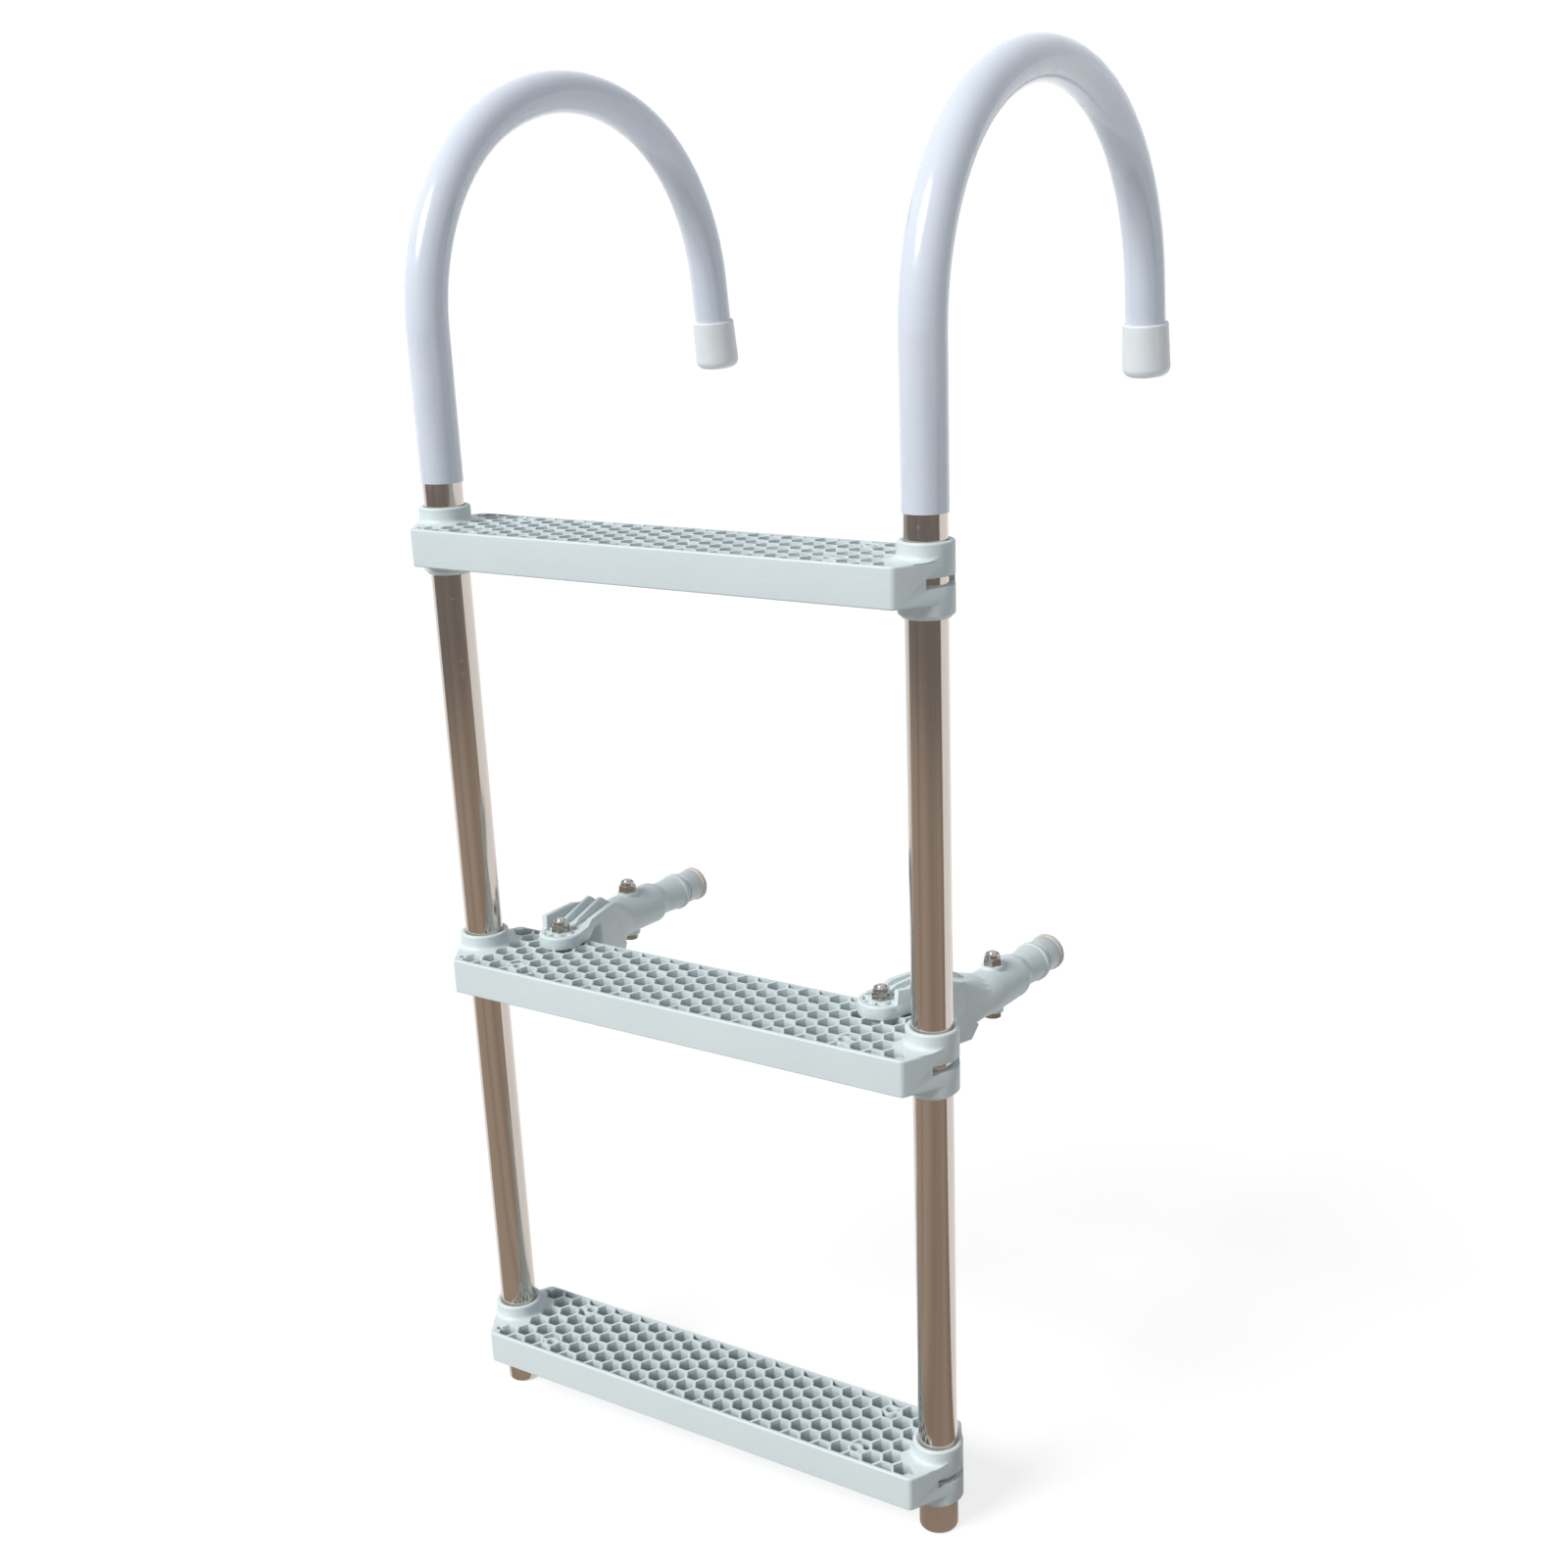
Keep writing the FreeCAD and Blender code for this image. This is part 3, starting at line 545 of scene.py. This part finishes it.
HEAD_HEIGHT = 4.2 * MM
for side in ("left", "right"):
    pad = next(m for m in frame["record"]["mounts"] if m["name"] == side + "_hull_pad")
    heading = math.atan2(pad["axis"][1], pad["axis"][0])
    for use in ("pivot", "clamp"):
        nut_node = side + "_" + use + "_nut"
        bolt_node = side + "_" + use + "_bolt"
        nut_low, nut_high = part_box(nut_node)
        bolt_low, bolt_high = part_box(bolt_node)
        axis_place = Vector(((nut_low.x + nut_high.x) / 2, (nut_low.y + nut_high.y) / 2, 0))
        nut = put(lock_nut(nut_node + "_fine", nut_low.z, nut_high.z), axis_place, turn=heading)
        screw = bolt(bolt_node + "_fine", bolt_low.z, bolt_high.z, HEAD_HEIGHT)
        screw = put(screw, axis_place, turn=heading)
        ring = put(locking_ring(side + "_" + use + "_ring", nut_high.z), axis_place)
        for piece in (nut, screw, ring):
            bpy.context.view_layer.objects.active = piece
            piece.select_set(True)
            bpy.ops.object.shade_smooth_by_angle(angle=math.radians(25))
            piece.select_set(False)
        dress(nut, nut_node, steel)
        dress(screw, bolt_node, steel)
        ring.data.materials.append(ring_nylon)
        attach(ring, BODY_OF[nut_node])
        print(nut_node, "faces", len(nut.data.polygons), "bolt faces", len(screw.data.polygons))

# %% [markdown]
# ## Pads
# A clear vinyl cap is pushed over the end of each sliding tube. Where the cap is thin, the
# tube shows through it, and its end is thick and cream, with two beads. The skirt and the
# beaded end are turned as two forms, because they are seen as two colours.

# %% Pads
SKIRT_RADIUS = 11.8 * MM
PAD_LENGTH = 17.7 * MM
BEAD_START = 4.8 * MM
BEAD_RADIUS = 12.0 * MM
BORE_RADIUS = 11.25 * MM
SEAT = 10.7 * MM


def pad_skirt(name):
    """Open cup over the tube's end, with a rounded mouth."""
    edge = 0.3 * MM
    rings = [(BORE_RADIUS, -SEAT), (SKIRT_RADIUS, -BEAD_START), (SKIRT_RADIUS, -PAD_LENGTH + edge)]
    rings += [(SKIRT_RADIUS - edge, -PAD_LENGTH), (BORE_RADIUS, -PAD_LENGTH), (BORE_RADIUS, -SEAT - 0.2 * MM)]
    return turned(name, rings, 72)


def pad_end(name):
    """Thick end with two beads, a groove between them and a slightly hollow face."""
    rings = [(SKIRT_RADIUS - MM, -BEAD_START - MM), (SKIRT_RADIUS, -BEAD_START)]
    bead = 0.65 * MM
    for centre in (-3.7 * MM, -1.5 * MM):
        for step in range(7):
            bend = math.radians(-90 + 30 * step)
            rings.append((BEAD_RADIUS + bead * math.cos(bend), centre + 0.8 * MM * math.sin(bend)))
    rings += [(BEAD_RADIUS - 0.3 * MM, -0.35 * MM), (BEAD_RADIUS - 1.1 * MM, 0.0), (BEAD_RADIUS - 2.2 * MM, 0.0)]
    rings += [(BEAD_RADIUS - 3.2 * MM, -0.6 * MM), (1.0 * MM, -0.9 * MM)]
    return turned(name, rings, 72)


clear_vinyl = milky_vinyl("clear_vinyl", (0.76, 0.82, 0.81), (0.68, 0.75, 0.75), 0.25)
for side in ("left", "right"):
    mount = next(m for m in frame["record"]["mounts"] if m["name"] == side + "_hull_pad")
    face = Vector(mount["pos_m"])
    outwards = Vector(mount["axis"])
    node = side + "_standoff_pad"
    skirt = put(pad_skirt(side + "_pad_skirt"), face, outwards)
    end = put(pad_end(side + "_pad_end"), face, outwards)
    for piece in (skirt, end):
        bpy.context.view_layer.objects.active = piece
        bpy.ops.object.select_all(action="DESELECT")
        piece.select_set(True)
        bpy.ops.object.shade_smooth_by_angle(angle=math.radians(40))
    dress(skirt, node, clear_vinyl)
    dress(end, node, cap_vinyl)
    print(node, "faces", len(skirt.data.polygons) + len(end.data.polygons))

# %% [markdown]
# ## Feet of the tubes
# The lower end of each rail is spun inwards to a blunt edge with a tight corner, tighter than
# the solid's. A thin turned ferrule gives the end that corner. It reaches up to just under
# the bottom step's collar, and a deep bore keeps the tube's mouth open from below.

# %% Feet of the tubes
FOOT_RADIUS = 12.74 * MM
FOOT_CORNER = 2.4 * MM
FOOT_BORE = 7.0 * MM
FOOT_LIP = 0.8 * MM
FOOT_ROOF = 0.2 * MM
foot_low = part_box("left_rail")[0].z
foot_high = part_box("bottom_step")[0].z - 0.3 * MM


def tube_foot(name):
    """Ferrule round the end of a rail, open from below."""
    rings = [(FOOT_RADIUS, foot_high)]
    for step in range(7):
        bend = math.radians(15 * step)
        radius = FOOT_RADIUS - FOOT_CORNER * (1 - math.cos(bend))
        rings.append((radius, foot_low + FOOT_CORNER * (1 - math.sin(bend))))
    rings += [(FOOT_BORE + FOOT_LIP, foot_low), (FOOT_BORE, foot_low + FOOT_LIP)]
    rings += [(FOOT_BORE, foot_high - FOOT_ROOF)]
    return turned(name, rings, 96)


for side, way in (("left", -1), ("right", 1)):
    place = Vector((way * RAIL_HALF_SPACING, RAIL_PLACE.y, 0))
    ferrule = put(tube_foot(side + "_rail_foot"), place)
    bpy.ops.object.shade_smooth_by_angle(angle=math.radians(35))
    ferrule.data.materials.append(tube)
    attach(ferrule, BODY_OF[side + "_rail"])
    print(ferrule.name, "faces", len(ferrule.data.polygons))

# %% [markdown]
# ## Floor and sky
# The ground of a product picture is white, but a white floor throws so much light upwards
# that the shaded faces vanish. So the floor reflects only a third of its light, and a glow
# lifts it to white for the eye and for reflections, not for soft light. The sky does the
# same. Then the sides that face away from the light stay grey, as they are on the real one.

# %% Floor and sky
FLOOR_SIZE = 60.0
FLOOR_REFLECTS = 0.36
FLOOR_GLOW = 0.76
SKY_DIM = 0.25
SKY_SEEN = 1.04
bpy.ops.object.select_all(action="DESELECT")
bpy.ops.mesh.primitive_plane_add(size=FLOOR_SIZE, location=(0, 0, cad_box[0][2] - 0.5 * MM))
floor = bpy.context.object
floor.name = "studio_floor"
paper = Finish("pale_paper")
soft_light = paper.add("ShaderNodeLightPath", {}, {}, output="Is Diffuse Ray")
paper.set(Base_Color=(FLOOR_REFLECTS, FLOOR_REFLECTS, FLOOR_REFLECTS), Roughness=0.9)
glow = paper.colour(soft_light, (FLOOR_GLOW, FLOOR_GLOW, FLOOR_GLOW), (0.0, 0.0, 0.0))
paper.set(Specular_IOR_Level=0.0, Emission_Color=glow, Emission_Strength=1.0)
floor.data.materials.append(paper.material)

world = bpy.data.worlds.new("studio")
bpy.context.scene.world = world
world.use_nodes = True
sky = world.node_tree.nodes["Background"]
sky.inputs["Color"].default_value = (1.0, 1.03, 1.10, 1.0)
rays = world.node_tree.nodes.new("ShaderNodeLightPath")
level = world.node_tree.nodes.new("ShaderNodeMapRange")
level.inputs["To Min"].default_value = SKY_SEEN
level.inputs["To Max"].default_value = SKY_DIM
world.node_tree.links.new(rays.outputs["Is Diffuse Ray"], level.inputs["Value"])
world.node_tree.links.new(level.outputs["Result"], sky.inputs["Strength"])
print("floor at", round(floor.location.z, 4))

# %% [markdown]
# ## A card for the tubes to reflect
# Polished tube looks like nothing until it has something dark to show. A warm brown card
# lies on the floor before the ladder and only reflections see it: it lights nothing and no
# camera sees it. Its back edge runs just under the rails, so the middle of each tube shows
# the card and both edges show the white floor behind. Further out the card is greyer.

# %% Reflection card
CARD_SIZE = 14.0
CARD_TURN = math.radians(12)
RAIL_FRONT = -0.13
card_back = Vector((math.sin(CARD_TURN), -math.cos(CARD_TURN), 0)) * CARD_SIZE / 2
bpy.ops.object.select_all(action="DESELECT")
bpy.ops.mesh.primitive_plane_add(
    size=CARD_SIZE,
    location=(card_back.x, RAIL_FRONT + card_back.y, cad_box[0][2] - 0.3 * MM),
    rotation=(0, 0, CARD_TURN),
)
card = bpy.context.object
card.name = "warm_card"
brown = Finish("warm_card")
reach = brown.add("ShaderNodeVectorMath", {"operation": "DISTANCE"}, {0: brown.place, 1: (0, CARD_SIZE / 2, 0)}, output="Value")
from_edge = brown.add("ShaderNodeVectorMath", {"operation": "SUBTRACT"}, {0: brown.place, 1: (0, CARD_SIZE / 2, 0)})
heading = brown.add("ShaderNodeTexGradient", {"gradient_type": "RADIAL"}, {"Vector": from_edge})
cloth = brown.add("ShaderNodeTexNoise", {"noise_dimensions": "1D"}, {"W": heading * 7.0, "Scale": 1.0, "Detail": 1.0})
near = brown.colour(cloth.smooth(0.32, 0.62), (0.31, 0.25, 0.20), (0.47, 0.39, 0.325))
far = brown.colour(cloth, (0.10, 0.10, 0.105), (0.30, 0.27, 0.25))
brown.set(Base_Color=(0.0, 0.0, 0.0), Roughness=1.0, Specular_IOR_Level=0.0, Emission_Strength=1.0)
brown.feed(brown.shader.inputs["Emission Color"], brown.colour(reach.smooth(1.5, 2.6), near, far))
card.data.materials.append(brown.material)
card.visible_camera = False
card.visible_diffuse = False
card.visible_shadow = False
card.visible_transmission = False
print("card back edge at y =", RAIL_FRONT)

# %% [markdown]
# ## Light
# The picture is lit from the upper left and a little from the front. A sun with a wide disc
# does this with one lamp: its direction shades the end faces, and its width keeps the edge
# of each shadow soft.

# %% Sun
SUN_TOWARDS = Vector((-0.30, -0.69, 0.66))
SUN_STRENGTH = 2.68
SUN_WIDTH = math.radians(28)
sun_data = bpy.data.lights.new("soft_sun", "SUN")
sun_data.energy = SUN_STRENGTH
sun_data.angle = SUN_WIDTH
sun = bpy.data.objects.new("soft_sun", sun_data)
sun.rotation_euler = SUN_TOWARDS.to_track_quat("Z", "Y").to_euler()
bpy.context.scene.collection.objects.link(sun)
bpy.context.scene.view_settings.view_transform = "Standard"
print("sun from", tuple(round(v, 2) for v in SUN_TOWARDS.normalized()))
